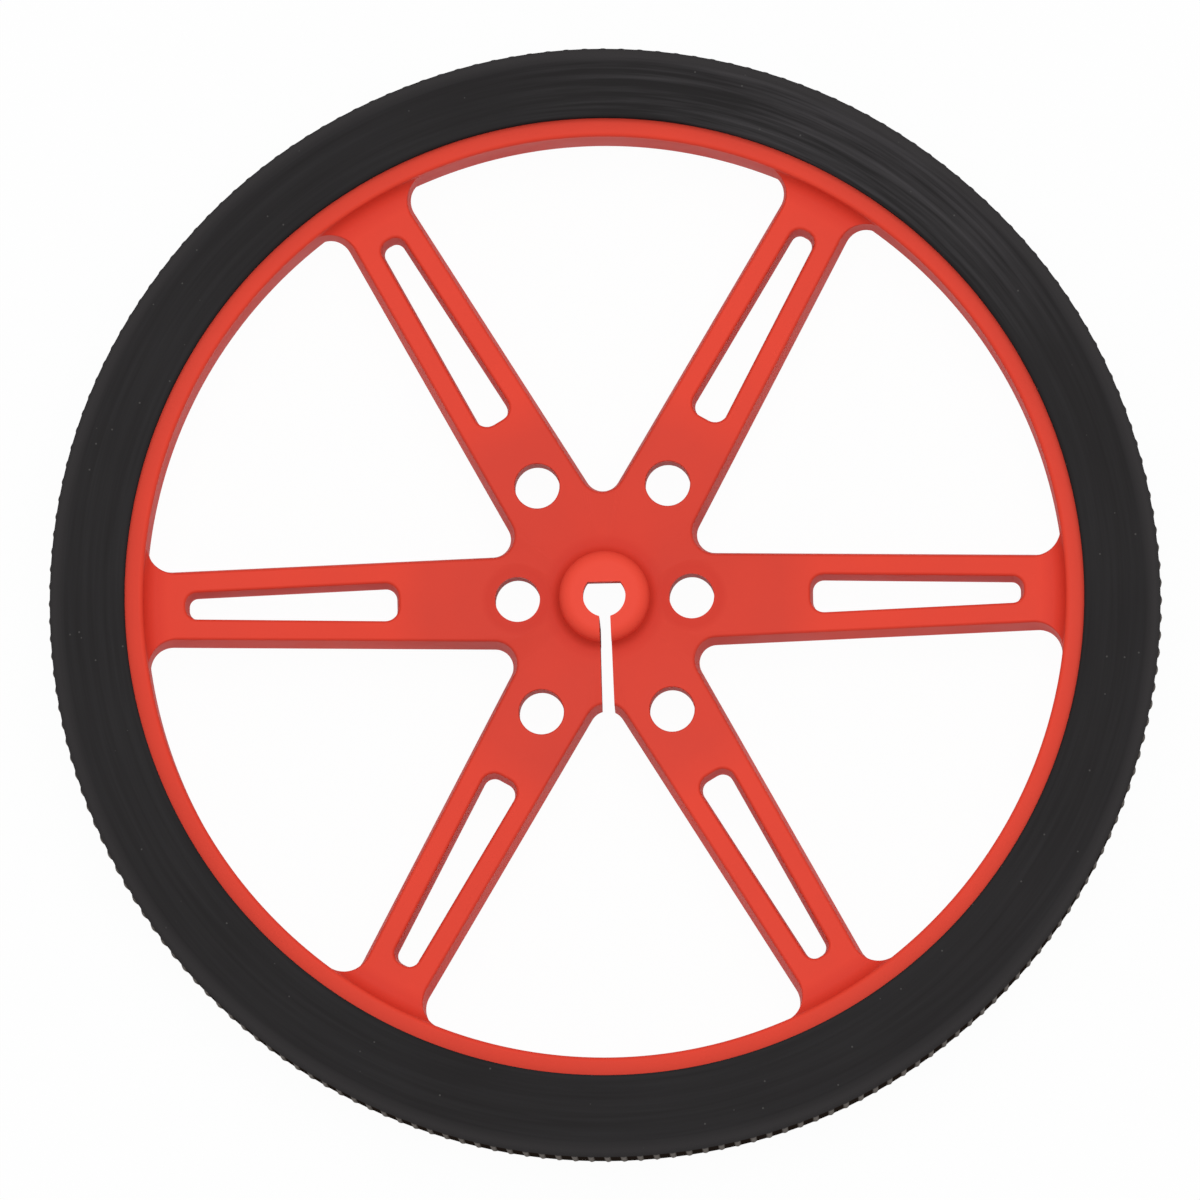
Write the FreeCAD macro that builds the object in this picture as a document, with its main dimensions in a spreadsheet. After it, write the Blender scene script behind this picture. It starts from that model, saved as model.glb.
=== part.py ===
import FreeCAD, Part

import math
import os

import Sketcher

# Robot car wheel: a red plastic moulding with six slotted spokes and a ribbed black tyre.
# The wheel lies flat, with its axis along +Z, its open boss side up and its centre at the origin.

# Driving dimensions, in millimetres and degrees
DIMENSIONS = [
    ("tyre_d", 80.8, "across the tips of the tread ribs"),
    ("tyre_width", 10.0, "over both sidewalls"),
    ("shoulder", 1.3, "between sidewall and tread, as two flats round an arc of this radius"),
    ("rib_height", 0.3, "tread rib above the tread floor"),
    ("rib_root", 0.5, "tread rib along the tread, at its foot"),
    ("rib_tip", 0.34, "tread rib along the tread, at its tip"),
    ("rib_margin", 0.12, "from the ends of the ribs to the shoulders"),
    ("rib_count", 200, "tread ribs round the tyre"),
    ("tyre_wall", 5.3, "from the rim out to the tips of the ribs"),
    ("lip_reach", 0.15, "tyre's lips, down over the rim's faces"),
    ("rim_width", 8.0, "rim from face to face"),
    ("rim_wall", 1.5, "from the rim's inner wall out to the tyre"),
    ("rim_edge", 0.25, "chamfers along the inner edges of the rim's faces"),
    ("web_inset", 1.5, "from the rim's front face down to the front of the web"),
    ("web_thickness", 4.1, "hub plate and spokes"),
    ("web_round", 1.0, "hollow round where the web's front meets the rim"),
    ("web_back_edge", 0.6, "chamfer where the web's back meets the rim"),
    ("draft_angle", 5.0, "side walls of windows and slots, narrower at the back"),
    ("spoke_count", 6, "spokes, and windows between them"),
    ("spoke_root", 7.2, "spoke width carried on to the axis, at the back"),
    ("spoke_taper", 1.5, "each side of a spoke towards its middle line"),
    ("window_reach", 0.1, "by which the windows' outlines run into the rim at the back"),
    ("apex_round", 1.3, "window corner at the hub, at the back"),
    ("corner_round", 1.7, "window corners at the rim, at the back"),
    ("slot_start", 15.2, "inner end of a slot from the axis, at the back"),
    ("slot_margin", 3.2, "from a slot's outer end to the rim's inner wall, at the back"),
    ("slot_root", 2.4, "slot width at its inner end, at the back"),
    ("slot_tip", 1.75, "slot width at its outer end, at the back"),
    ("slot_root_round", 0.65, "corners of the slot's inner end"),
    ("slot_tip_round", 0.75, "corners of the slot's outer end"),
    ("boss_d", 6.6, "boss on both sides of the hub plate"),
    ("boss_rise", 2.4, "boss above and below the hub plate"),
    ("boss_edge", 0.45, "chamfers along both edges of the boss"),
    ("boss_foot", 0.35, "chamfers at both feet of the boss"),
    ("bore_d", 3.1, "round part of the shaft bore, for a 3 mm shaft"),
    ("flat_offset", 1.0, "flat of the D land from the axis"),
    ("land_length", 2.0, "D land at the open end of the boss"),
    ("land_draft", 1.0, "walls of the D land, narrower inwards"),
    ("slit_root", 0.9, "slit width at the bore"),
    ("slit_mouth", 1.04, "slit width at the window"),
    ("hole_d", 3.2, "screw holes in the hub plate"),
    ("near_pitch", 12.7, "between the two near holes"),
    ("far_circle_d", 19.05, "circle of the four far holes"),
    ("recess_d", 5.0, "shallow ring round each near hole"),
    ("recess_depth", 0.12, "of that ring"),
    ("cut_margin", 0.4, "by which a cut runs past the faces it opens"),
]

doc = FreeCAD.newDocument("RobotCarWheel")
sizes = doc.addObject("Spreadsheet::Sheet", "Sizes")
for row, (name, amount, note) in enumerate(DIMENSIONS, start=1):
    sizes.set(f"A{row}", name)
    sizes.set(f"B{row}", str(amount))
    sizes.set(f"C{row}", note)
    sizes.setAlias(f"B{row}", name)
doc.recompute()

# Levels and half sizes that several features share, as expressions on the sheet
WEB_FRONT = "Sizes.rim_width / 2 - Sizes.web_inset"
WEB_BACK = f"{WEB_FRONT} - Sizes.web_thickness"
BOSS_FRONT = f"{WEB_FRONT} + Sizes.boss_rise"
BOSS_BACK = f"{WEB_BACK} - Sizes.boss_rise"
BOSS_R = "Sizes.boss_d / 2"
FLOOR_R = "Sizes.tyre_d / 2 - Sizes.rib_height"
SEAT_R = "Sizes.tyre_d / 2 - Sizes.tyre_wall"
LIP_R = f"{SEAT_R} - Sizes.lip_reach"
RIM_BORE_R = f"{SEAT_R} - Sizes.rim_wall"
UP = FreeCAD.Vector(0, 0, 1)


def number(text):
    """The value of an expression on the sheet."""
    return float(sizes.evalExpression(text))


def origin_feature(body, role):
    return next(f for f in body.Origin.OriginFeatures if f.Role == role)


def new_sketch(body, name, role, level="0"):
    """A sketch on one of the body's origin planes, raised by level along the plane's normal."""
    sketch = body.newObject("Sketcher::SketchObject", name)
    sketch.AttachmentSupport = [(origin_feature(body, role), "")]
    sketch.MapMode = "FlatFace"
    sketch.setExpression("AttachmentOffset.Base.z", level)
    return sketch


def bind(sketch, text, kind, *references):
    """Adds a constraint whose value is an expression on the sheet, in degrees if it is an angle."""
    amount = number(text)
    if kind == "Angle":
        amount, text = math.radians(amount), f"({text}) * 1 deg"
    index = sketch.addConstraint(Sketcher.Constraint(kind, *references, amount))
    sketch.setExpression(f"Constraints[{index}]", text)


def place(sketch, geometry, end, x, y):
    """Holds an end of a line or the centre of a circle at a point given by two expressions."""
    for kind, text, axis in (("DistanceX", x, -2), ("DistanceY", y, -1)):
        if abs(number(text)) < 1e-9:
            sketch.addConstraint(Sketcher.Constraint("PointOnObject", geometry, end, axis))
        else:
            bind(sketch, text, kind, -1, 1, geometry, end)


def polygon(sketch, corners):
    points = [FreeCAD.Vector(number(x), number(y), 0) for x, y in corners]
    for point, following in zip(points, points[1:] + points[:1]):
        sketch.addGeometry(Part.LineSegment(point, following), False)
    for i in range(len(points)):
        sketch.addConstraint(Sketcher.Constraint("Coincident", i, 2, (i + 1) % len(points), 1))
    for i, (x, y) in enumerate(corners):
        place(sketch, i, 1, x, y)


def circles(sketch, places, diameter):
    for x, y in places:
        centre = FreeCAD.Vector(number(x), number(y), 0)
        index = sketch.addGeometry(Part.Circle(centre, UP, number(diameter) / 2), False)
        place(sketch, index, 3, x, y)
        bind(sketch, diameter, "Diameter", index)


def arc(centre, radius, start, end):
    """An arc from the start to the end angle in radians, counter-clockwise."""
    return Part.ArcOfCircle(Part.Circle(centre, UP, radius), start, end)


def join_tangent(sketch, count):
    for i in range(count):
        sketch.addConstraint(Sketcher.Constraint("Tangent", i, 2, (i + 1) % count, 1))


def revolve(body, name, corners):
    """Turns a section, drawn as radius and height, about the axis."""
    sketch = new_sketch(body, name + "Section", "XZ_Plane")
    polygon(sketch, corners)
    turn = body.newObject("PartDesign::Revolution", name)
    turn.Profile = sketch
    turn.ReferenceAxis = (sketch, ["V_Axis"])
    turn.Angle = 360
    doc.recompute()
    return turn


def finish_rings(body, name, kind, amount, rings):
    """Rounds or chamfers the circular edges given by their radius and height."""
    base = body.Tip
    wanted = [(number(r), number(z)) for r, z in rings]
    names = []
    for i, edge in enumerate(base.Shape.Edges, start=1):
        curve = edge.Curve
        if isinstance(curve, Part.Circle):
            found = (curve.Radius, curve.Center.z)
            if any(math.dist(found, ring) < 1e-4 for ring in wanted):
                names.append(f"Edge{i}")
    finish = body.newObject(f"PartDesign::{kind}", name)
    finish.Base = (base, names)
    finish.setExpression("Radius" if kind == "Fillet" else "Size", amount)
    doc.recompute()


def pocket(body, sketch, name, depth=None, upwards=False, taper="0"):
    """Cuts a sketch down through everything, or to a depth, or upwards from the sketch."""
    cut = body.newObject("PartDesign::Pocket", name)
    cut.Profile = sketch
    cut.Reversed = upwards
    if depth is None:
        cut.Type = "ThroughAll"
    else:
        cut.Type = "Length"
        cut.setExpression("Length", depth)
    cut.setExpression("TaperAngle", taper)
    doc.recompute()
    return cut


def repeat_round(body, feature, name):
    """Repeats a cut once for each spoke."""
    pattern = body.newObject("PartDesign::PolarPattern", name)
    pattern.Originals = [feature]
    pattern.Axis = (origin_feature(body, "Z_Axis"), [""])
    pattern.Angle = 360
    pattern.setExpression("Occurrences", "Sizes.spoke_count")
    body.Tip = pattern
    doc.recompute()


def drafted_cut(body, name, outline):
    """Cuts an outline drawn at the web's back, wider towards the front by the draft angle."""
    sketch = new_sketch(body, name + "Sketch", "XY_Plane", WEB_BACK)
    outline(sketch)
    overrun = "Sizes.web_round + Sizes.cut_margin"
    cut = pocket(body, sketch, name, f"Sizes.web_thickness + {overrun}", True, "Sizes.draft_angle")
    cut.SideType = "Two sides"
    cut.Type2 = "Length"
    cut.setExpression("Length2", overrun)
    doc.recompute()
    repeat_round(body, cut, name + "s")


# Window between two spokes, centred on +Y: two straight sides, a round apex and an arc at the rim
def window_outline(sketch):
    side_angle = "180 / Sizes.spoke_count * (Sizes.spoke_count / 2 - 1) - Sizes.spoke_taper"
    side_offset = "Sizes.spoke_root / 2 * cos(Sizes.spoke_taper * 1 deg)"
    apex_round, corner_round = "Sizes.apex_round", "Sizes.corner_round"
    outer = f"{RIM_BORE_R} + Sizes.window_reach"

    angle, offset = math.radians(number(side_angle)), number(side_offset)
    apex_r, corner_r, outer_r = number(apex_round), number(corner_round), number(outer)
    along = FreeCAD.Vector(math.cos(angle), math.sin(angle), 0)
    inward = FreeCAD.Vector(-math.sin(angle), math.cos(angle), 0)
    apex = FreeCAD.Vector(0, (offset + apex_r) / math.cos(angle), 0)
    reach = math.sqrt((outer_r - corner_r) ** 2 - (offset + corner_r) ** 2)
    corner = along * reach + inward * (offset + corner_r)
    left_corner = FreeCAD.Vector(-corner.x, corner.y, 0)
    turn = math.atan2(corner.y, corner.x)
    quarter = math.pi / 2

    side_start, side_end = apex - inward * apex_r, corner - inward * corner_r
    left_start = FreeCAD.Vector(-side_end.x, side_end.y, 0)
    left_end = FreeCAD.Vector(-side_start.x, side_start.y, 0)
    sketch.addGeometry(Part.LineSegment(side_start, side_end), False)
    sketch.addGeometry(arc(corner, corner_r, angle - quarter, turn), False)
    sketch.addGeometry(arc(FreeCAD.Vector(), outer_r, turn, math.pi - turn), False)
    sketch.addGeometry(arc(left_corner, corner_r, math.pi - turn, 3 * quarter - angle), False)
    sketch.addGeometry(Part.LineSegment(left_start, left_end), False)
    sketch.addGeometry(arc(apex, apex_r, 3 * quarter - angle, 3 * quarter + angle), False)

    join_tangent(sketch, 6)
    sketch.addConstraint(Sketcher.Constraint("Coincident", 2, 3, -1, 1))
    sketch.addConstraint(Sketcher.Constraint("Symmetric", 0, 2, 4, 1, -2))
    bind(sketch, corner_round, "Radius", 1)
    bind(sketch, outer, "Radius", 2)
    bind(sketch, corner_round, "Radius", 3)
    bind(sketch, apex_round, "Radius", 5)
    bind(sketch, side_angle, "Angle", 0)
    bind(sketch, side_offset, "Distance", -1, 1, 0)


# Slot along a spoke, centred on +X: narrower outwards, with its four corners rounded
def slot_outline(sketch):
    start, end = "Sizes.slot_start", f"{RIM_BORE_R} - Sizes.slot_margin"
    root, tip = "Sizes.slot_root / 2", "Sizes.slot_tip / 2"
    root_round, tip_round = "Sizes.slot_root_round", "Sizes.slot_tip_round"
    slope = f"atan((({root}) - ({tip})) / (({end}) - ({start}))) / 1 deg"
    offset = f"(({root}) + ({start}) * tan({slope} * 1 deg)) * cos({slope} * 1 deg)"

    rise = math.radians(number(slope))
    x0, x1, y0, y1 = (number(text) for text in (start, end, root, tip))
    r0, r1 = number(root_round), number(tip_round)
    corners = [(x0, -y0, r0), (x1, -y1, r1), (x1, y1, r1), (x0, y0, r0)]
    turns = [math.pi * 1.5, rise, math.pi / 2, math.pi - rise, math.pi * 1.5]
    centres = []
    for (x, y, r), before, after in zip(corners, turns, turns[1:]):
        swing = (after - before) % (2 * math.pi)
        back = r * math.tan(swing / 2)
        entry = FreeCAD.Vector(x - back * math.cos(before), y - back * math.sin(before), 0)
        centre = entry + FreeCAD.Vector(-math.sin(before), math.cos(before), 0) * r
        centres.append((centre, r, before - math.pi / 2, before - math.pi / 2 + swing))
    arcs = [arc(*values) for values in centres]
    for bend, following in zip(arcs, arcs[1:] + arcs[:1]):
        sketch.addGeometry(bend, False)
        sketch.addGeometry(Part.LineSegment(bend.EndPoint, following.StartPoint), False)

    join_tangent(sketch, 8)
    for i, text in ((0, root_round), (2, tip_round), (4, tip_round), (6, root_round)):
        bind(sketch, text, "Radius", i)
    bind(sketch, slope, "Angle", 1)
    bind(sketch, offset, "Distance", -1, 1, 1)
    for i, text in ((3, end), (7, start)):
        sketch.addConstraint(Sketcher.Constraint("Vertical", i))
        bind(sketch, text, "DistanceX", -1, 1, i, 1)
    sketch.addConstraint(Sketcher.Constraint("Symmetric", 1, 1, 5, 2, -1))


# D-shaped land for the flat of the shaft, with the flat towards +Y
def land_outline(sketch):
    radius, offset = number("Sizes.bore_d / 2"), number("Sizes.flat_offset")
    half = math.sqrt(radius**2 - offset**2)
    lean = math.atan2(offset, half)
    sketch.addGeometry(arc(FreeCAD.Vector(), radius, math.pi - lean, 2 * math.pi + lean), False)
    flat_ends = FreeCAD.Vector(half, offset, 0), FreeCAD.Vector(-half, offset, 0)
    sketch.addGeometry(Part.LineSegment(*flat_ends), False)
    for end, start in ((0, 1), (1, 0)):
        sketch.addConstraint(Sketcher.Constraint("Coincident", end, 2, start, 1))
    sketch.addConstraint(Sketcher.Constraint("Coincident", 0, 3, -1, 1))
    sketch.addConstraint(Sketcher.Constraint("Horizontal", 1))
    bind(sketch, "Sizes.bore_d / 2", "Radius", 0)
    bind(sketch, "Sizes.flat_offset", "DistanceY", -1, 1, 1, 1)


# Rim, web and boss, as one moulding
def build_wheel():
    body = doc.addObject("PartDesign::Body", "Wheel")
    body.Label = "wheel"
    face = "Sizes.rim_width / 2"
    rim_section = [(RIM_BORE_R, f"-{face}"), (SEAT_R, f"-{face}"), (SEAT_R, face), (RIM_BORE_R, face)]
    revolve(body, "Moulding", [
        ("0", BOSS_BACK), (BOSS_R, BOSS_BACK), (BOSS_R, WEB_BACK), (RIM_BORE_R, WEB_BACK), *rim_section,
        (RIM_BORE_R, WEB_FRONT), (BOSS_R, WEB_FRONT), (BOSS_R, BOSS_FRONT), ("0", BOSS_FRONT),
    ])
    room = "min(Sizes.web_round; Sizes.web_inset - 2 * Sizes.rim_edge)"
    finish_rings(body, "WebFoot", "Fillet", room, [(RIM_BORE_R, WEB_FRONT)])
    finish_rings(body, "WebBackFoot", "Chamfer", "Sizes.web_back_edge", [(RIM_BORE_R, WEB_BACK)])
    boss_feet = [(BOSS_R, WEB_FRONT), (BOSS_R, WEB_BACK)]
    finish_rings(body, "BossFeet", "Chamfer", "Sizes.boss_foot", boss_feet)
    boss_edges = [(BOSS_R, BOSS_FRONT), (BOSS_R, BOSS_BACK)]
    finish_rings(body, "BossEdges", "Chamfer", "Sizes.boss_edge", boss_edges)

    drafted_cut(body, "Window", window_outline)
    drafted_cut(body, "Slot", slot_outline)
    revolve(body, "Rim", rim_section)
    rim_edges = [(RIM_BORE_R, face), (RIM_BORE_R, f"-{face}")]
    finish_rings(body, "RimEdges", "Chamfer", "Sizes.rim_edge", rim_edges)

    near_x = "Sizes.near_pitch / 2"
    near = [(near_x, "0"), (f"-{near_x}", "0")]
    far_x, far_y = "Sizes.far_circle_d / 2 * cos(60 deg)", "Sizes.far_circle_d / 2 * sin(60 deg)"
    far = [(x, y) for x in (far_x, f"-{far_x}") for y in (far_y, f"-{far_y}")]
    recess = new_sketch(body, "RecessSketch", "XY_Plane", WEB_FRONT)
    circles(recess, near, "Sizes.recess_d")
    pocket(body, recess, "Recesses", "Sizes.recess_depth")
    holes = new_sketch(body, "HoleSketch", "XY_Plane", WEB_FRONT)
    circles(holes, near + far, "Sizes.hole_d")
    pocket(body, holes, "Holes")

    land = new_sketch(body, "LandSketch", "XY_Plane", BOSS_FRONT)
    land_outline(land)
    pocket(body, land, "Land", "Sizes.land_length", taper="-Sizes.land_draft")
    bore = new_sketch(body, "BoreSketch", "XY_Plane", BOSS_BACK)
    circles(bore, [("0", "0")], "Sizes.bore_d")
    pocket(body, bore, "Bore", "Sizes.web_thickness + 2 * Sizes.boss_rise - Sizes.land_length", True)

    slit = new_sketch(body, "SlitSketch", "XY_Plane", BOSS_FRONT)
    root, mouth = "Sizes.slit_root / 2", "Sizes.slit_mouth / 2"
    apex = "Sizes.spoke_root + 2 * Sizes.apex_round"
    polygon(slit, [(f"-{root}", "-Sizes.slit_root"), (f"-{mouth}", f"-({apex})"),
                   (mouth, f"-({apex})"), (root, "-Sizes.slit_root")])
    pocket(body, slit, "Slit")
    return body


# Ring of tread ribs that ends where the shoulders begin, with its roots sunk in the tread floor
def rib_ring():
    count = round(number("Sizes.rib_count"))
    floor_r, tip_r = number(FLOOR_R), number("Sizes.tyre_d / 2")
    foot_r = floor_r - number("Sizes.cut_margin")
    half_root, half_tip = number("Sizes.rib_root / 2") / floor_r, number("Sizes.rib_tip / 2") / tip_r
    lean = (half_root - half_tip) / (tip_r - floor_r)
    half_foot = half_root + lean * (floor_r - foot_r)
    half_length = number("Sizes.tyre_width / 2 - Sizes.shoulder - Sizes.rib_margin")
    points = []
    for i in range(count):
        middle = 2 * math.pi * i / count
        for radius, angle in ((foot_r, middle - half_foot), (tip_r, middle - half_tip),
                              (tip_r, middle + half_tip), (foot_r, middle + half_foot)):
            points.append(FreeCAD.Vector(radius * math.cos(angle), radius * math.sin(angle), -half_length))
    outline = Part.makePolygon(points + points[:1])
    inner_r = foot_r - number("Sizes.cut_margin")
    inner = Part.Wire(Part.makeCircle(inner_r, FreeCAD.Vector(0, 0, -half_length)))
    ring = Part.makeFace([outline, inner], "Part::FaceMakerBullseye")
    return ring.extrude(UP * 2 * half_length)


# Tyre that holds the rim between two lips, with ribs across its tread
def build_tyre():
    body = doc.addObject("PartDesign::Body", "TyreBlank")
    side, face = "Sizes.tyre_width / 2", "Sizes.rim_width / 2"
    dip = "Sizes.shoulder * (1 - cos(45 deg))"
    shoulder = [
        (f"{FLOOR_R} - Sizes.shoulder", side), (f"{FLOOR_R} - {dip}", f"{side} - {dip}"),
        (FLOOR_R, f"{side} - Sizes.shoulder"),
    ]
    revolve(body, "Carcass", [
        (LIP_R, f"-{side}"), *[(r, f"-({z})") for r, z in shoulder], *reversed(shoulder),
        (LIP_R, side), (LIP_R, face), (SEAT_R, face), (SEAT_R, f"-{face}"), (LIP_R, f"-{face}"),
    ])
    ribs = doc.addObject("Part::Feature", "Ribs")
    ribs.Shape = rib_ring()
    tyre = doc.addObject("Part::Fuse", "Tyre")
    tyre.Label = "tyre"
    tyre.Base = body
    tyre.Tool = ribs
    doc.recompute()
    return tyre


def check(parts):
    """Stops on a failed feature, a cut that removes nothing or a piece that is not one solid."""
    for item in doc.Objects:
        if {"Invalid", "Error"} & set(item.State):
            raise ValueError(f"{item.Label} did not build: {item.State}")
        below = getattr(item, "BaseFeature", None)
        if item.TypeId == "PartDesign::Pocket" and not item.Shape.Volume < below.Shape.Volume:
            raise ValueError(f"{item.Label} cuts nothing")
    for part in parts:
        shape = part.Shape
        if shape.isNull() or not shape.isValid() or len(shape.Solids) != 1:
            raise ValueError(f"{part.Label} is not one valid solid")


parts = [build_wheel(), build_tyre()]
check(parts)
os.makedirs("parts", exist_ok=True)
for part in parts:
    part.Shape.exportStep(f"parts/{part.Label}.step")
    print(part.Label, round(part.Shape.Volume, 1), "mm3", len(part.Shape.Faces), "faces")
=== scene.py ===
import math

import bpy
from mathutils import Matrix, Vector


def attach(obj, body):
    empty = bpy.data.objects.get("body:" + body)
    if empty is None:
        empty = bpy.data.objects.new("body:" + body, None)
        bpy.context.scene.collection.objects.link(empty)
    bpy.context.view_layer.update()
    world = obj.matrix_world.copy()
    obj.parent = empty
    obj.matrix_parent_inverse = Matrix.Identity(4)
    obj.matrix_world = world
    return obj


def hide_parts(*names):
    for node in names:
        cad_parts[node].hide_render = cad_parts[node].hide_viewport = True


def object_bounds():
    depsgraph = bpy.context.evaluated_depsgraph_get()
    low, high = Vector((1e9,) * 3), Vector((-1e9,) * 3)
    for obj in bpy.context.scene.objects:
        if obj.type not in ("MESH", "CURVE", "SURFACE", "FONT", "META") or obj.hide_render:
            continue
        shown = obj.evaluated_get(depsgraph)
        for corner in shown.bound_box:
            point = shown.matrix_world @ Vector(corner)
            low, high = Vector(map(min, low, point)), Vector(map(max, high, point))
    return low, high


# Robot car wheel lying on its side: red plastic spokes with a ribbed black silicone tyre.
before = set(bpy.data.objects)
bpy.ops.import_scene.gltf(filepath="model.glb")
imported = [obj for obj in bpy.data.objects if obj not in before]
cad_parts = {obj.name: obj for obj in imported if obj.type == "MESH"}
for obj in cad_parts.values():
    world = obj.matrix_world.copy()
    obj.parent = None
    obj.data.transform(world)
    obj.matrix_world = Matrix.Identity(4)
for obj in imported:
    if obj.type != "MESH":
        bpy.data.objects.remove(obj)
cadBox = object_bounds()
mm = 0.001
turn = 2 * math.pi


def deselectAll():
    if bpy.context.object and bpy.context.object.mode != "OBJECT":
        bpy.ops.object.mode_set(mode="OBJECT")
    bpy.ops.object.select_all(action="DESELECT")


def pick(piece):
    deselectAll()
    piece.select_set(True)
    bpy.context.view_layer.objects.active = piece


def bend(corner, before, after, radius, steps):  # the arc that rounds a corner between two straight stretches
    incoming = (corner - before).normalized()
    outgoing = (after - corner).normalized()
    swing = incoming.angle_signed(outgoing)
    back = radius * math.tan(abs(swing) / 2)
    side = -1 if swing > 0 else 1
    centre = corner - incoming * back + side * radius * Vector((-incoming.y, incoming.x))
    start = corner - incoming * back - centre
    points = []
    for i in range(steps + 1):
        angle = -side * -abs(swing) * i / steps
        points.append(centre + Matrix.Rotation(angle, 2) @ start)
    return points


def roundedOutline(corners):  # corners are x, y and the radius of their round, if any
    points = [Vector(corner[:2]) for corner in corners]
    outline = []
    for i, corner in enumerate(corners):
        if len(corner) > 2:
            outline += bend(points[i], points[i - 1], points[(i + 1) % len(points)], corner[2], corner[3])
        else:
            outline.append(points[i])
    return outline


def spunPiece(name, section, steps):  # a closed section of radius and height, spun about the axis
    deselectAll()
    mesh = bpy.data.meshes.new(name)
    count = len(section)
    edges = [(i, (i + 1) % count) for i in range(count)]
    mesh.from_pydata([(r * mm, 0, z * mm) for r, z in section], edges, [])
    piece = bpy.data.objects.new(name, mesh)
    bpy.context.collection.objects.link(piece)
    pick(piece)
    bpy.ops.object.mode_set(mode="EDIT")
    bpy.ops.mesh.select_all(action="SELECT")
    bpy.ops.mesh.spin(steps=steps, angle=turn, center=(0, 0, 0), axis=(0, 0, 1))
    bpy.ops.mesh.select_all(action="SELECT")
    bpy.ops.mesh.remove_doubles(threshold=1e-6)
    bpy.ops.mesh.normals_make_consistent(inside=False)
    bpy.ops.object.mode_set(mode="OBJECT")
    return piece


def ringedCutter(name, rings):  # closed shape through rings that have the same number of points
    mesh = bpy.data.meshes.new(name)
    count = len(rings[0])
    points = [(x * mm, y * mm, z * mm) for ring in rings for x, y, z in ring]
    faces = [list(range(count))[::-1], [len(points) - count + i for i in range(count)]]
    for level in range(len(rings) - 1):
        for i in range(count):
            a, b = level * count + i, level * count + (i + 1) % count
            faces.append((a, b, b + count, a + count))
    mesh.from_pydata(points, [], faces)
    cutter = bpy.data.objects.new(name, mesh)
    bpy.context.collection.objects.link(cutter)
    pick(cutter)
    bpy.ops.object.mode_set(mode="EDIT")
    bpy.ops.mesh.select_all(action="SELECT")
    bpy.ops.mesh.normals_make_consistent(inside=False)
    bpy.ops.object.mode_set(mode="OBJECT")
    return cutter


def joined(pieces):
    deselectAll()
    for piece in pieces:
        piece.select_set(True)
    bpy.context.view_layer.objects.active = pieces[0]
    bpy.ops.object.join()
    return pieces[0]


def combine(piece, operation, *others):
    for other in others:
        pick(piece)
        modifier = piece.modifiers.new("Combine", "BOOLEAN")
        modifier.operation = operation
        modifier.solver = "EXACT"
        modifier.object = other
        bpy.ops.object.modifier_apply(modifier=modifier.name)
        bpy.data.objects.remove(other)


def turnedCopies(piece, count):
    copies = []
    for i in range(count):
        copy = bpy.data.objects.new(piece.name, piece.data.copy())
        bpy.context.collection.objects.link(copy)
        copy.data.transform(Matrix.Rotation(turn * i / count, 4, "Z"))
        copies.append(copy)
    bpy.data.objects.remove(piece)
    return copies


# Wheel: lengths in millimetres, angles in degrees
wheel = {
    "rimBore": 33.6, "rimOuter": 35.1, "rimWidth": 8.0, "rimInnerRound": 0.35, "rimOuterRound": 0.2,
    "webBack": -1.6, "webFront": 2.5, "webRound": 1.0, "webTuck": 1.2, "overlap": 0.01,
    "windowOverlap": 0.04, "tenon": 0.5, "pilot": 0.5, "bossRadius": 3.3, "bossRise": 2.4,
    "bossEdge": 1.0, "bossFoot": 0.7, "draft": 5.0, "spokeCount": 6, "spokeRoot": 7.2, "spokeTaper": 1.5,
    "apexRound": 1.3, "cornerRound": 1.7, "slotStart": 15.2, "slotEnd": 30.36, "slotRoot": 2.42,
    "slotTip": 1.5, "slotRootRound": 0.8, "slotTipRound": 0.65, "slotDraft": 3.0, "edgeRound": 0.3,
    "backEdgeRound": 0.15, "holeEdgeRound": 0.12, "cutClear": 0.012, "edgeStop": 80.0, "edgeSteps": 5,
    "cutOver": 0.05, "cutReach": 2.5, "beyond": 1.0, "apexSteps": 8, "cornerSteps": 16, "outerSteps": 24,
    "wallShares": (0.3, 0.6, 0.8, 0.86, 0.9, 0.93, 0.96, 0.98), "holeRadius": 1.635, "nearHoles": 6.35,
    "farHoles": 9.525, "farBearings": (60, 120, 240, 300), "holeSteps": 48, "recessFloor": 2.2,
    "recessRadius": 2.6, "recessDepth": 0.1, "bore": 1.55, "flat": 1.0, "landLength": 2.0,
    "boreBack": 1.95, "slitStart": 0.9, "slitRoot": 0.8, "slitMouth": 0.94, "slitLean": 0.14,
    "landOverlap": 0.1, "landSteps": 32, "segments": 288, "smoothAngle": 28.0, "normalWeight": 100,
}


def webHeight(x, y, side):  # level of the web's front or back face, with the hollow round at the rim
    start = wheel["rimBore"] + wheel["overlap"] - wheel["webRound"]
    reach = min(max(math.hypot(x, y) - start, 0), wheel["webRound"] * 0.999)
    rise = wheel["webRound"] - math.sqrt(wheel["webRound"] ** 2 - reach ** 2)
    return wheel["webFront"] + rise if side > 0 else wheel["webBack"] - rise


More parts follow.
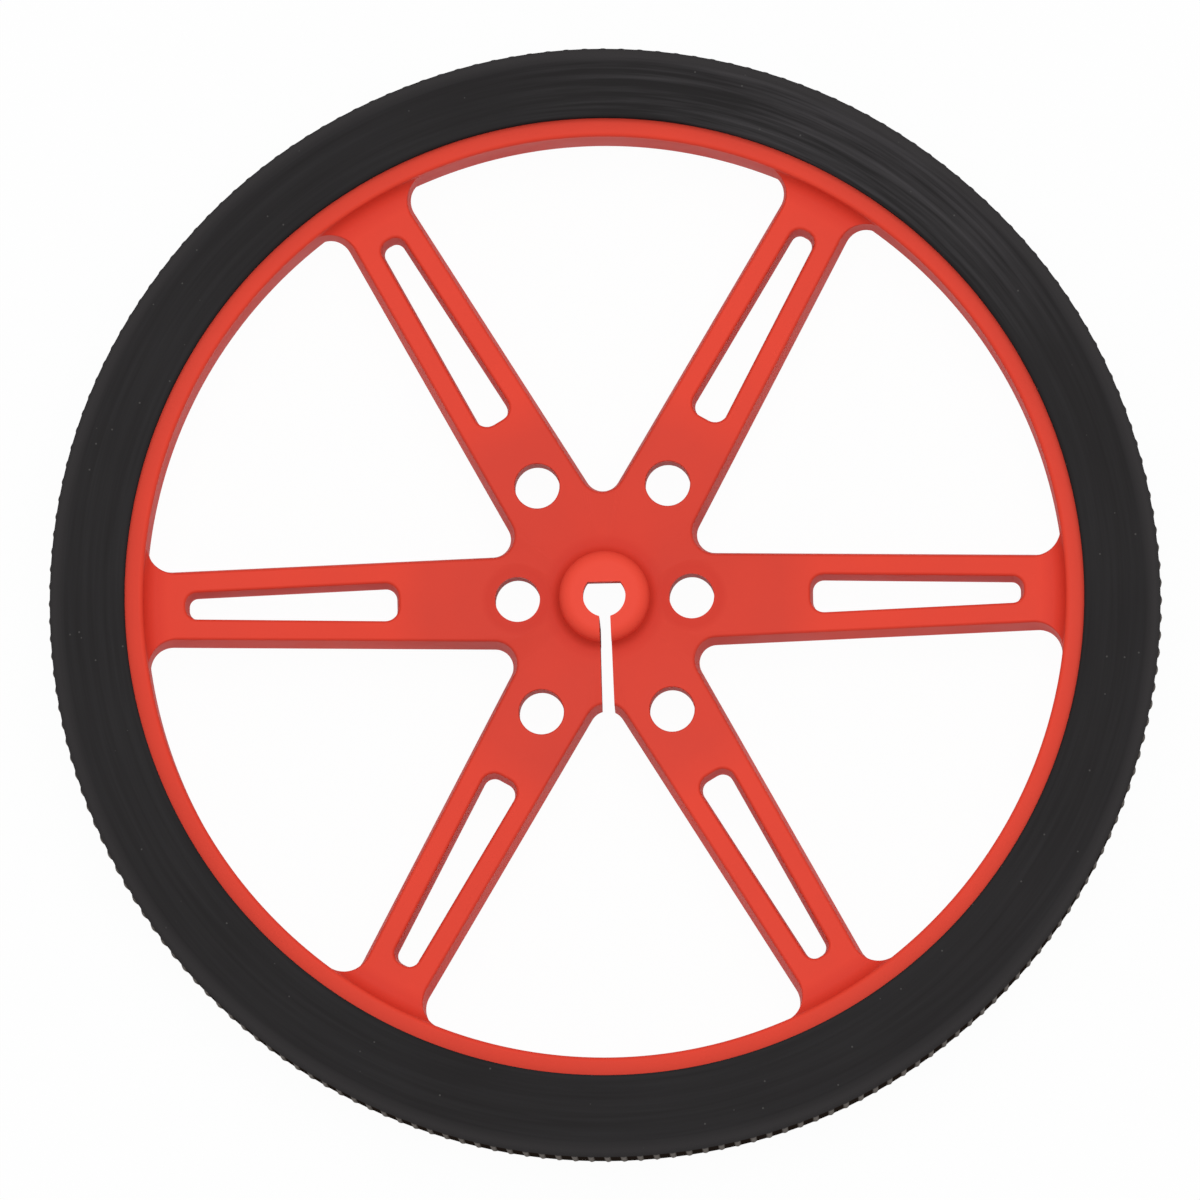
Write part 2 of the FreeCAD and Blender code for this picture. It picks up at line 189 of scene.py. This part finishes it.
def windowOutline(offset):  # window centred on +Y, its drafted walls moved outwards by the offset
    angle = math.radians(60 - wheel["spokeTaper"])
    distance = wheel["spokeRoot"] / 2 * math.cos(math.radians(wheel["spokeTaper"])) - offset
    apexRadius, cornerRadius = wheel["apexRound"] + offset, wheel["cornerRound"] + offset
    outer = wheel["rimBore"] + wheel["windowOverlap"]
    along, inward = Vector((math.cos(angle), math.sin(angle))), Vector((-math.sin(angle), math.cos(angle)))
    apex = Vector((0, (distance + apexRadius) / math.cos(angle)))
    reach = math.sqrt((outer - cornerRadius) ** 2 - (distance + cornerRadius) ** 2)
    corner = along * reach + inward * (distance + cornerRadius)
    direction = math.atan2(corner.y, corner.x)
    half = []
    for i in range(wheel["apexSteps"] + 1):  # half of the apex
        half.append(apex + apexRadius * Matrix.Rotation(angle * i / wheel["apexSteps"], 2) @ Vector((0, -1)))
    start, end = half[-1], corner - inward * cornerRadius
    for share in wheel["wallShares"]:
        half.append(start.lerp(end, share))
    sweep = direction - (angle - math.pi / 2)
    for i in range(wheel["cornerSteps"] + 1):
        half.append(corner + cornerRadius * Matrix.Rotation(sweep * i / wheel["cornerSteps"], 2) @ -inward)
    for i in range(1, wheel["outerSteps"] + 1):
        bearing = direction + (math.pi / 2 - direction) * i / wheel["outerSteps"]
        half.append(outer * Vector((math.cos(bearing), math.sin(bearing))))
    mirrored = [Vector((-p.x, p.y)) for p in half[1:-1]]
    return half + mirrored[::-1]


def slotOutline(offset):  # slot along +X
    root, tip = wheel["slotRoot"] / 2 + offset, wheel["slotTip"] / 2 + offset
    start, end = wheel["slotStart"] - offset, wheel["slotEnd"] + offset
    rootRound, tipRound = wheel["slotRootRound"] + offset, wheel["slotTipRound"] + offset
    return roundedOutline([(start, -root, rootRound, 8), (end, -tip, tipRound, 8),
                           (end, tip, tipRound, 8), (start, root, rootRound, 8)])


def throughCut(name, outlineAt, frontRound, backRound, draft):  # with rounded edges at both faces
    slope = math.tan(math.radians(draft))
    stop = math.radians(wheel["edgeStop"])
    steps = wheel["edgeSteps"]
    rings = []

    def addRing(offset, side, dip):
        rings.append([(p.x, p.y, webHeight(p.x, p.y, side) - side * dip) for p in outlineAt(offset)])

    def edge(side, radius, base, order):
        for i in order:
            angle = stop * i / steps
            dip = radius * (math.sin(stop) - math.sin(angle)) - wheel["cutClear"]
            addRing(base + radius * (1 - math.cos(angle)), side, dip)

    thick = wheel["webFront"] - wheel["webBack"]
    over, reach = wheel["cutOver"], wheel["cutReach"]
    spread = over / math.tan(math.pi / 2 - stop)
    backBase, frontBase = backRound * slope, (thick - frontRound) * slope
    backOut = backBase + backRound * (1 - math.cos(stop)) + spread
    frontOut = frontBase + frontRound * (1 - math.cos(stop)) + spread
    addRing(backOut, -1, -reach)
    addRing(backOut, -1, -over)
    edge(-1, backRound, backBase, range(steps, -1, -1))
    edge(1, frontRound, frontBase, range(steps + 1))
    addRing(frontOut, 1, -over)
    addRing(frontOut, 1, -reach)
    return ringedCutter(name, rings)


def circleOutline(x, y, radius, steps):
    return lambda offset: [Vector((x + (radius + offset) * math.cos(turn * i / steps),
                                   y + (radius + offset) * math.sin(turn * i / steps))) for i in range(steps)]


def straightCut(name, outline, low, high):
    return ringedCutter(name, [[(p.x, p.y, z) for p in outline] for z in (low, high)])


def makeWheel():
    w = wheel
    bossFront, bossBack = w["webFront"] + w["bossRise"], w["webBack"] - w["bossRise"]
    wall, inside = w["rimBore"] + w["overlap"], w["rimBore"] + w["tenon"]
    webRim, tuck, beyond = w["webRound"], w["webTuck"] * w["webRound"], w["beyond"]
    web = spunPiece("wheel", roundedOutline([
        (w["pilot"], bossBack), (w["bossRadius"], bossBack, w["bossEdge"] / 2, 4),
        (w["bossRadius"], w["webBack"], w["bossFoot"], 6), (wall, w["webBack"], webRim, 10),
        (wall, w["webBack"] - tuck), (inside, w["webBack"] - tuck),
        (inside, w["webFront"] + tuck), (wall, w["webFront"] + tuck),
        (wall, w["webFront"], webRim, 10), (w["bossRadius"], w["webFront"], w["bossFoot"], 6),
        (w["bossRadius"], bossFront, w["bossEdge"], 8), (w["pilot"], bossFront),
    ]), w["segments"])
    window = throughCut("window", windowOutline, w["edgeRound"], w["backEdgeRound"], w["draft"])
    slot = throughCut("slot", slotOutline, w["edgeRound"], w["backEdgeRound"], w["slotDraft"])
    windows, slots = turnedCopies(window, w["spokeCount"]), turnedCopies(slot, w["spokeCount"])
    combine(web, "DIFFERENCE", joined(windows + slots))
    print("wheel: windows and slots cut")

    near = [(w["nearHoles"] * side, 0) for side in (1, -1)]
    far = [(w["farHoles"] * math.cos(math.radians(a)), w["farHoles"] * math.sin(math.radians(a)))
           for a in w["farBearings"]]
    recesses = []
    for x, y in near:  # shallow, with a sloping side
        floor, side = w["recessFloor"], w["recessRadius"]
        sections = [(floor, -w["recessDepth"]), (side, w["cutClear"]), (side, beyond)]
        recesses.append(ringedCutter("recess", [
            [(p.x, p.y, w["webFront"] + rise) for p in circleOutline(x, y, radius, w["holeSteps"])(0)]
            for radius, rise in sections]))
    holes = []
    for x, y in near + far:
        outline = circleOutline(x, y, w["holeRadius"], w["holeSteps"])
        holes.append(throughCut("hole", outline, w["holeEdgeRound"], w["holeEdgeRound"], 0))
    combine(web, "DIFFERENCE", joined(recesses), joined(holes))

    half = math.sqrt(w["bore"] ** 2 - w["flat"] ** 2)
    lean = math.atan2(w["flat"], half)
    sweep = math.pi + 2 * lean
    bearings = [math.pi - lean + sweep * i / w["landSteps"] for i in range(w["landSteps"] + 1)]
    land = [w["bore"] * Vector((math.cos(bearing), math.sin(bearing))) for bearing in bearings]
    apex = w["spokeRoot"] + 2 * w["apexRound"]
    root, mouth, lean, start = w["slitRoot"] / 2, w["slitMouth"] / 2, w["slitLean"], -w["slitStart"]
    slit = [Vector(p) for p in ((-root, start), (lean - mouth, -apex), (lean + mouth, -apex), (root, start))]
    landFloor = bossFront - w["landLength"]
    bore = ringedCutter("bore", [
        [(p.x, p.y, height) for p in circleOutline(0, 0, radius, w["holeSteps"])(0)]
        for radius, height in (
            (w["boreBack"], bossBack - beyond), (w["boreBack"], bossBack), (w["bore"], landFloor))])
    combine(web, "DIFFERENCE", straightCut("land", land, landFloor - w["landOverlap"], bossFront + beyond),
            bore, straightCut("slit", slit, bossBack - beyond, bossFront + beyond))
    print("wheel: holes, bore and slit cut")

    face, inner, outer = w["rimWidth"] / 2, w["rimInnerRound"], w["rimOuterRound"]
    rim = spunPiece("rim", roundedOutline([
        (w["rimBore"], -face, inner, 5), (w["rimOuter"], -face, outer, 3),
        (w["rimOuter"], face, outer, 3), (w["rimBore"], face, inner, 5),
    ]), w["segments"])
    combine(web, "UNION", rim)
    pick(web)
    bpy.ops.object.mode_set(mode="EDIT")
    bpy.ops.mesh.select_all(action="SELECT")
    bpy.ops.mesh.remove_doubles(threshold=2e-6)
    bpy.ops.mesh.dissolve_degenerate(threshold=1e-6)
    bpy.ops.object.mode_set(mode="OBJECT")
    bpy.ops.object.shade_smooth_by_angle(angle=math.radians(w["smoothAngle"]))
    weighted = web.modifiers.new("Weighted", "WEIGHTED_NORMAL")
    weighted.keep_sharp = True
    weighted.weight = w["normalWeight"]
    bpy.ops.object.modifier_apply(modifier=weighted.name)
    print("wheel:", len(web.data.polygons), "faces")
    return web


# Tyre: stretched over the rim a little off centre, so it is thin at the top and thick at the bottom.
# Stations are shares of a rib's pitch, and waves are depth, number round the tyre and phase.
tyre = {
    "seat": 35.1, "lip": 34.93, "lipRound": 0.3, "rimFace": 4.04, "width": 10.0, "tip": 40.6,
    "ribHeight": 0.15, "crownRadius": 36.3, "crown": 0.05, "crownRound": 14, "shoulderDrop": 0.3,
    "shoulder": 1.3, "ribCount": 200, "stations": [0.0, 0.31, 0.41, 0.5, 0.59, 0.69],
    "lift": [0, 0, 0.8, 1, 0.8, 0], "ribFade": (2.0, 4.1), "pitchSwing": 0.07, "offCentre": 0.42,
    "treadRows": (-2.4, -1.2, 0, 1.2, 2.4), "ribStart": 0.2, "smoothAngle": 32.0,
    "waves": ((0.03, 5, 0.7), (0.02, 11, 2.1)),
}


def makeTyre():
    t = tyre
    side, floor = t["width"] / 2, t["tip"] - t["ribHeight"]
    crown, brow = side + t["crown"], side - t["shoulderDrop"]
    tread = [(floor, z) for z in t["treadRows"]]
    section = roundedOutline([
        (t["seat"], -t["rimFace"]), (t["lip"], -t["rimFace"]), (t["lip"], -side, t["lipRound"], 5),
        (t["crownRadius"], -crown, t["crownRound"], 5), (floor, -brow, t["shoulder"], 9), *tread,
        (floor, brow, t["shoulder"], 9), (t["crownRadius"], crown, t["crownRound"], 5),
        (t["lip"], side, t["lipRound"], 5), (t["lip"], t["rimFace"]), (t["seat"], t["rimFace"]),
    ])
    stations = len(t["stations"])
    columns = t["ribCount"] * stations
    piece = spunPiece("tyre", section, columns)
    low, high = t["ribFade"]
    centreRadius = floor - t["shoulder"]
    for vertex in piece.data.vertices:
        x, y, z = vertex.co / mm
        radius = math.hypot(x, y)
        column = round(math.atan2(y, x) / turn * columns) % columns
        share = (column // stations + t["stations"][column % stations]) / t["ribCount"] * turn
        bearing = share - t["pitchSwing"] * math.cos(share)
        outward = max(0, min(1, (radius - t["seat"]) / (floor - t["seat"])))
        if radius > centreRadius + t["ribStart"]:
            fade = 1 - max(0, min(1, (abs(z) - low) / (high - low)))
            lift = t["lift"][column % stations] * t["ribHeight"] * fade
            away = Vector((radius - centreRadius, abs(z) - (brow - t["shoulder"])))
            away = Vector((1, 0)) if away.y < 0 else away.normalized()
            radius += lift * away.x
            z += math.copysign(lift * away.y, z)
        radius -= outward * t["offCentre"] * math.sin(bearing)
        for depth, number, phase in t["waves"]:
            radius += outward * depth * math.sin(number * bearing + phase)
        vertex.co = Vector((radius * math.cos(bearing), radius * math.sin(bearing), z)) * mm
    pick(piece)
    bpy.ops.object.shade_smooth_by_angle(angle=math.radians(t["smoothAngle"]))
    print("tyre:", len(piece.data.polygons), "faces")
    return piece


class Wire:  # a shader socket that can be used in expressions
    def __init__(self, tree, socket):
        self.tree, self.socket = tree, socket

    def node(self, kind, settings=None, **inputs):
        made = self.tree.nodes.new("ShaderNode" + kind)
        for key, value in (settings or {}).items():
            if key == "stops":
                for i, (place, colour) in enumerate(value):
                    stop = made.color_ramp.elements[i] if i < 2 else made.color_ramp.elements.new(place)
                    stop.position, stop.color = place, colour
            else:
                setattr(made, key, value)
        for key, value in inputs.items():
            name = int(key[1:]) if key[0] == "i" and key[1:].isdigit() else key.replace("_", " ")
            if isinstance(value, Wire):
                self.tree.links.new(value.socket, made.inputs[name])
            else:
                made.inputs[name].default_value = value
        return made

    def maths(self, operation, a, b=0.0):
        return Wire(self.tree, self.node("Math", {"operation": operation}, i0=a, i1=b).outputs[0])

    def __add__(self, other):
        return self.maths("ADD", self, other)

    def __sub__(self, other):
        return self.maths("SUBTRACT", self, other)

    def __rsub__(self, other):
        return self.maths("SUBTRACT", other, self)

    def __mul__(self, other):
        return self.maths("MULTIPLY", self, other)

    __radd__ = __add__
    __rmul__ = __mul__

    def __truediv__(self, other):
        return self.maths("DIVIDE", self, other)

    def ramp(self, low, high):  # 0 below low, 1 above high
        made = self.node("MapRange", {"clamp": True}, Value=self, From_Min=low, From_Max=high)
        return Wire(self.tree, made.outputs[0])

    def mix(self, first, second):  # colours mixed by this mask
        made = self.node("Mix", {"data_type": "RGBA"}, i0=self, i6=first, i7=second)
        return Wire(self.tree, made.outputs[2])


def newMaterial(name):
    material = bpy.data.materials.new(name)
    material.use_nodes = True
    tree = material.node_tree
    shader = tree.nodes["Principled BSDF"]
    coordinates = Wire(tree, tree.nodes.new("ShaderNodeTexCoord").outputs["Object"])
    return material, shader, coordinates


def noise(at, scale, detail=2.0, roughness=0.5):
    made = at.node("TexNoise", None, Vector=at, Scale=scale, Detail=detail, Roughness=roughness)
    return Wire(at.tree, made.outputs[0])


def feed(shader, socket, value):
    value.tree.links.new(value.socket, shader.inputs[socket])


def bump(shader, height, strength, distance):
    made = height.node("Bump", None, Height=height, Strength=strength, Distance=distance)
    height.tree.links.new(made.outputs[0], shader.inputs["Normal"])


plastic = {
    # the hub pair is darkened as painted shade
    "hub": ((0.67, 0.050, 0.029, 1), (0.73, 0.058, 0.034, 1)),
    # the darker colour for the hollows, with the foot, ring and corner masks, paints shade there
    "spokes": ((0.75, 0.054, 0.029, 1), (0.81, 0.062, 0.034, 1)), "hollow": (0.60, 0.030, 0.016, 1),
    # the boss colour is a painted highlight
    "hollowDepth": 0.6, "nearHoles": wheel["nearHoles"] * mm, "boss": (0.87, 0.074, 0.043, 1),
    "hubEdge": (0.013, 0.016), "bossLevel": (0.0027, 0.0035), "bossSide": (0.004, 0.005),
    "foot": (0.0035, 0.0047), "ring": (0.0022, 0.0027), "ringShadeDepth": 0.6, "corner": (0.0318, 0.0333),
    "cornerShadeLevel": (0.0029, 0.0036), "mottleScale": 160, "cloudScale": 45, "toneRange": (0.36, 0.64),
    "roughness": 0.55, "roughRange": (0.3, 0.7), "roughSwing": 0.08, "grainScale": 900, "grain": 0.7,
    "mottle": 0.6, "bumpStrength": 0.12, "bumpDepth": 0.00012, "specular": 0.14,
}


def redPlastic():  # the hub plate is painted a little darker than the spokes as painted shade, the hollows get painted shade, and the boss face is painted brighter as a painted highlight
    p = plastic
    material, shader, at = newMaterial("satin red plastic")
    parts = at.node("SeparateXYZ", None, Vector=at)
    x, y, z = (Wire(at.tree, socket) for socket in parts.outputs)
    radius = at.maths("SQRT", x * x + y * y)
    mottle = noise(at, p["mottleScale"], 3)
    clouds = noise(at, p["cloudScale"])
    tone = (mottle * 0.5 + clouds * 0.5).ramp(*p["toneRange"])
    # painted shade: the hub plate's colours are darker than the spokes'
    colour = radius.ramp(*p["hubEdge"]).mix(tone.mix(*p["hub"]), tone.mix(*p["spokes"]))
    # painted shade: a darker colour at the boss foot, around the near holes' recesses and in the rim's inner
    # corner at web level
    aside = at.maths("ABSOLUTE", x) - p["nearHoles"]
    beside = at.maths("SQRT", aside * aside + y * y)  # distance from the nearer of the two near holes
    foot = 1.0 - radius.ramp(*p["foot"])
    ring = (1.0 - beside.ramp(*p["ring"])) * p["ringShadeDepth"]
    corner = radius.ramp(*p["corner"]) * (1.0 - z.ramp(*p["cornerShadeLevel"]))
    hollow = at.maths("MAXIMUM", at.maths("MAXIMUM", foot, ring), corner) * p["hollowDepth"]
    colour = hollow.mix(colour, p["hollow"])
    # painted highlight: the boss face is painted brighter than the web
    bossHighlightMask = z.ramp(*p["bossLevel"]) * (1.0 - radius.ramp(*p["bossSide"]))
    feed(shader, "Base Color", bossHighlightMask.mix(colour, p["boss"]))
    feed(shader, "Roughness", mottle.ramp(*p["roughRange"]) * p["roughSwing"] + p["roughness"])
    grain = noise(at, p["grainScale"])
    bump(shader, grain * p["grain"] + mottle * p["mottle"], p["bumpStrength"], p["bumpDepth"])
    shader.inputs["Specular IOR Level"].default_value = p["specular"]
    return material


silicone = {
    "dark": (0.0235, 0.0220, 0.0225, 1), "light": (0.031, 0.0295, 0.0305, 1),
    # the third colour here is a painted sheen
    "paintedSheen": (0.062, 0.058, 0.061, 1), "shoulder": (0.046, 0.043, 0.044, 1),
    # the shoulder colour and its start radius paint a lighter band of painted light on the tread shoulder
    "shoulderLightStart": (0.0393, 0.0401), "treadStart": (0.0031, 0.0037), "dust": (0.075, 0.072, 0.07, 1),
    "dustScale": 900, "dustSize": 0.075, "dustShare": 0.4, "streakRadial": 2600, "streakLength": 2.6,
    "sheenBearing": math.radians(64), "sheenWidth": (0.8, 1.0), "sheenRange": (0.42, 0.68),
    "sheenStreaks": 0.7, "streakDetail": 4, "streakRoughness": 0.6, "streakShare": 0.6, "cloudScale": 60,
    "toneRange": (0.35, 0.65), "ribEdge": (0.2, 0.75), "roughness": 0.44, "roughRange": (0.3, 0.7),
    # the rib tip colour is a painted highlight and the groove colour is painted shade
    "roughSwing": 0.12, "bumpStrength": 0.07, "bumpDepth": 0.0001, "ribTipHighlight": (0.20, 0.18, 0.165, 1),
    "ribGrooveShade": (0.020, 0.014, 0.011, 1), "offCentre": tyre["offCentre"] * mm,
}


def blackSilicone():
    s = silicone
    material, shader, at = newMaterial("matte black silicone")
    parts = at.node("SeparateXYZ", None, Vector=at)
    x, y, z = (Wire(at.tree, socket) for socket in parts.outputs)
    radius = at.maths("SQRT", x * x + y * y)
    across, up = x / radius, y / radius
    rings = at.node("CombineXYZ", None, X=across * s["streakLength"], Y=up * s["streakLength"],
                    Z=radius * s["streakRadial"])
    streaks = noise(Wire(at.tree, rings.outputs[0]), 1.0, s["streakDetail"], s["streakRoughness"])
    clouds = noise(at, s["cloudScale"], 3)
    tone = (streaks * s["streakShare"] + clouds * (1 - s["streakShare"])).ramp(*s["toneRange"])
    colour = tone.mix(s["dark"], s["light"])
    # painted sheen: a lighter streaky patch on the upper right of the sidewall
    facing = across * math.cos(s["sheenBearing"]) + up * math.sin(s["sheenBearing"])  # 1 toward the painted sheen's bearing
    patches = (streaks * s["sheenStreaks"] + clouds * (1 - s["sheenStreaks"])).ramp(*s["sheenRange"])
    sheenMask = facing.ramp(*s["sheenWidth"]) * patches
    colour = sheenMask.mix(colour, s["paintedSheen"])
    cells = at.node("TexVoronoi", None, Vector=at, Scale=s["dustScale"])
    near = 1.0 - Wire(at.tree, cells.outputs["Distance"]).ramp(s["dustSize"] * 0.6, s["dustSize"])
    chosen = at.node("SeparateColor", None, Color=Wire(at.tree, cells.outputs["Color"]))
    dust = near * Wire(at.tree, chosen.outputs[0]).maths(
        "GREATER_THAN", Wire(at.tree, chosen.outputs[0]), s["dustShare"])
    colour = dust.mix(colour, s["dust"])
    trueRadius = radius + up * s["offCentre"]  # from the middle of the tread, which is off the axis
    # painted light: the tread shoulder is painted lighter where light falls on it
    colour = trueRadius.ramp(*s["shoulderLightStart"]).mix(colour, s["shoulder"])
    bearing = at.maths("ARCTAN2", y, x)
    share = bearing + at.maths("COSINE", bearing) * tyre["pitchSwing"]
    share = bearing + at.maths("COSINE", share) * tyre["pitchSwing"]  # its place at an even pitch
    # painted highlight on the rib tips and painted shade in the grooves between them
    onRib = at.maths("COSINE", share * tyre["ribCount"] + math.pi).ramp(*s["ribEdge"])
    onTread = 1.0 - at.maths("ABSOLUTE", z).ramp(*s["treadStart"])
    feed(shader, "Base Color", onTread.mix(colour, onRib.mix(s["ribGrooveShade"], s["ribTipHighlight"])))
    feed(shader, "Roughness", streaks.ramp(*s["roughRange"]) * s["roughSwing"] + s["roughness"])
    bump(shader, streaks, s["bumpStrength"], s["bumpDepth"])
    shader.inputs["Specular IOR Level"].default_value = 0.0
    return material


wheelPiece = makeWheel()
tyrePiece = makeTyre()
for piece, node, slot, material in (
    (wheelPiece, "wheel", "wheel_plastic", redPlastic()),
    (tyrePiece, "tyre", "tyre_rubber", blackSilicone()),
):
    piece.data.materials.clear()
    piece.data.materials.append(material)
    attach(piece, "root")
    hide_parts(node)
print("pieces placed")

# Camera: a little below and to the right of the wheel's axis, far away, with the wheel turned slightly
view = {
    "down": 4.0, "right": 0.8, "roll": 1.18, "distance": 1500.0, "scale": 13.70, "frameWidth": 1200,
    "centre": (605.0, 599.95), "sensor": 36.0,
}


def makeCamera():
    roll = math.radians(view["roll"])
    right = Vector((math.cos(roll), -math.sin(roll), 0))
    up = Vector((math.sin(roll), math.cos(roll), 0))
    x, y = math.sin(math.radians(view["right"])), -math.sin(math.radians(view["down"]))
    direction = right * x + up * y + Vector((0, 0, math.sqrt(1 - x * x - y * y)))
    sideways = (right - direction * right.dot(direction)).normalized()
    upwards = direction.cross(sideways)
    middle = view["frameWidth"] / 2
    target = sideways * (middle - view["centre"][0]) + upwards * (view["centre"][1] - middle)
    target /= view["scale"]
    place = (target + direction * view["distance"]) * mm
    bpy.ops.object.camera_add(location=place)
    camera = bpy.context.object
    facing = Matrix((sideways, upwards, direction)).transposed().to_4x4()
    camera.matrix_world = Matrix.Translation(place) @ facing
    camera.data.sensor_width = view["sensor"]
    camera.data.lens = view["sensor"] * view["scale"] * view["distance"] / view["frameWidth"]
    camera.data.clip_end = 10
    bpy.context.scene.camera = camera


studio = {
    "keyPower": 4.1, "keySize": 0.55, "keyPlace": (0.04, 0.13, 0.87), "worldStrength": 0.48,
    "floorGlow": 0.97, "floorSize": 3, "floorColour": (0.8, 0.8, 0.8, 1), "floorRoughness": 0.9,
}


def seenDirectly(tree):  # 1 for what the camera sees itself or in gloss or glass
    path = tree.nodes.new("ShaderNodeLightPath")
    seen = Wire(tree, path.outputs["Is Camera Ray"])
    for kind in ("Is Glossy Ray", "Is Transmission Ray"):
        seen = seen.maths("MAXIMUM", seen, Wire(tree, path.outputs[kind]))
    return seen


def makeStudio():
    deselectAll()
    bpy.ops.mesh.primitive_plane_add(size=studio["floorSize"], location=(0, 0, cadBox[0].z))
    floor = bpy.context.object
    floor.name = "floor"
    material, shader, at = newMaterial("white paper")
    tree = material.node_tree
    shader.inputs["Base Color"].default_value = studio["floorColour"]
    shader.inputs["Roughness"].default_value = studio["floorRoughness"]
    glow = at.node("Emission", None, Color=(1, 1, 1, 1), Strength=1.0)
    mixed = at.node("MixShader", None, i0=seenDirectly(tree) * studio["floorGlow"],
                    i1=Wire(tree, shader.outputs[0]), i2=Wire(tree, glow.outputs[0]))
    tree.links.new(mixed.outputs[0], tree.nodes["Material Output"].inputs["Surface"])
    floor.data.materials.append(material)

    world = bpy.data.worlds.new("studio")
    world.use_nodes = True
    bpy.context.scene.world = world
    background = world.node_tree.nodes["Background"]
    background.inputs["Color"].default_value = (1, 1, 1, 1)
    strength = seenDirectly(world.node_tree) * (1 - studio["worldStrength"]) + studio["worldStrength"]
    world.node_tree.links.new(strength.socket, background.inputs["Strength"])

    place = Vector(studio["keyPlace"])
    bpy.ops.object.light_add(type="AREA", location=place)
    key = bpy.context.object
    key.data.size = studio["keySize"]
    key.data.energy = studio["keyPower"]
    key.rotation_euler = place.to_track_quat("Z", "Y").to_euler()


makeCamera()
makeStudio()
bpy.context.scene.view_settings.view_transform = "Standard"
print("camera and studio ready")
